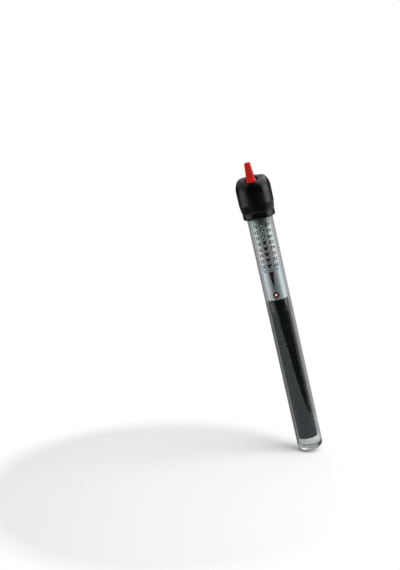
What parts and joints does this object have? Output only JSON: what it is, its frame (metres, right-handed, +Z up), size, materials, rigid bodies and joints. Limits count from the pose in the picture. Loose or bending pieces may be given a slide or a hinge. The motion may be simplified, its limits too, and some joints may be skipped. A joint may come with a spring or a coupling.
{
  "type": "submersible aquarium heater",
  "caption": "Glass-tube aquarium heater with a rubber cap, a red setting knob, a curved scale card, a lamp and a bimetal thermostat over a wound ceramic core.",
  "frame": {"origin": "on the tube's axis, in the middle of the band where the upper suction-cup clip holds the glass, 120 mm above the glass foot", "axes": "+Z up along the tube towards the knob, -Y towards the side with the scale, +X to the right of the scale"},
  "size_m": [0.0328, 0.0364, 0.2822],
  "materials": {
    "borosilicate_glass": "clear polished",
    "cap_rubber": "satin moulded",
    "seal_rubber": "smooth",
    "knob_plastic": "glossy moulded",
    "plug_moulding": "moulded",
    "bush_nylon": "turned",
    "separator_moulding": "glossy moulded",
    "phenolic": "pressed laminate",
    "barrel_plastic": "smooth",
    "lens_plastic": "translucent",
    "metallised_film": "metallised",
    "lamp_glass": "glowing",
    "resistor_body": "lacquered",
    "core_ceramic": "fired unglazed",
    "ceramic_fibre": "felted ceramic fibre",
    "sleeve_enamel": "glossy black",
    "resistance_wire": "drawn",
    "tinned_wire": "tinned",
    "live_insulation": "extruded sleeve",
    "neutral_insulation": "extruded sleeve",
    "feed_insulation": "glass-fibre sleeve",
    "turned_brass": "machined",
    "tag_brass": "stamped",
    "arm_bronze": "rolled spring bronze",
    "bimetal": "rolled",
    "contact_silver": "bright",
    "magnet_ferrite": "dark sintered",
    "zinc_steel": "zinc plated"
  },
  "bodies": {
    "housing": {"ceramic_core": "core_ceramic", "coil_feed_wire": "feed_insulation", "end_pad": "ceramic_fibre", "frame_base_plate": "phenolic", "frame_top_plate": "phenolic", "glass_tube": "borosilicate_glass", "head_plug": "plug_moulding", "heater_sleeve": "sleeve_enamel", "heating_coil": "resistance_wire", "lamp_lens": "lens_plastic", "lamp_resistor": "resistor_body", "lamp_resistor_wire": "tinned_wire", "lamp_tag_wire": "tinned_wire", "left_base_nut": "zinc_steel", "left_bracket_rivet": "zinc_steel", "left_lower_nut": "zinc_steel", "left_tie_rod": "zinc_steel", "left_upper_nut": "zinc_steel", "live_lead": "live_insulation", "live_terminal": "tag_brass", "load_terminal": "tag_brass", "lower_seal_ring": "seal_rubber", "neon_lamp": "lamp_glass", "neutral_lead": "neutral_insulation", "resistor_neutral_wire": "tinned_wire", "right_base_nut": "zinc_steel", "right_bracket_rivet": "zinc_steel", "right_lower_nut": "zinc_steel", "right_tie_rod": "zinc_steel", "right_upper_nut": "zinc_steel", "rubber_cap": "cap_rubber", "scale_card": "metallised_film", "separator_plug": "separator_moulding", "shaft_bush": "bush_nylon", "stack_back_block": "phenolic", "stack_bracket": "zinc_steel", "stack_nut": "turned_brass", "stack_screw": "zinc_steel", "stack_spacer": "phenolic", "upper_seal_ring": "seal_rubber"},
    "adjuster": {"adjusting_knob": "knob_plastic", "adjuster_shaft": "turned_brass", "indicator_barrel": "barrel_plastic", "adjuster_cam": "turned_brass", "shaft_clip": "zinc_steel"},
    "contact_lever": {"contact_arm": "arm_bronze", "arm_contact": "contact_silver", "snap_magnet": "magnet_ferrite"},
    "bimetal_lever": {"bimetal_strip": "bimetal", "bimetal_contact": "contact_silver"}
  },
  "joints": [
    {"name": "knob_turn", "type": "hinge", "parent": "housing", "child": "adjuster", "pos_m": [0, -0.0062, 0.1433], "axis": [0, 0, -1], "range_deg": [-170, 130]},
    {"name": "contact_arm_lean", "type": "hinge", "parent": "housing", "child": "contact_lever", "pos_m": [0, 0, 0.04061], "axis": [-1, 0, 0], "range_deg": [-1.53, 1.17]},
    {"name": "bimetal_bend", "type": "hinge", "parent": "housing", "child": "bimetal_lever", "pos_m": [0, 0.0038, 0.04061], "axis": [-1, 0, 0], "range_deg": [0, 4], "stiffness_Nm_per_rad": 0.005}
  ],
  "couplings": [
    {"joint": "contact_arm_lean", "follows": "knob_turn", "ratio": 0.0088063}
  ]
}
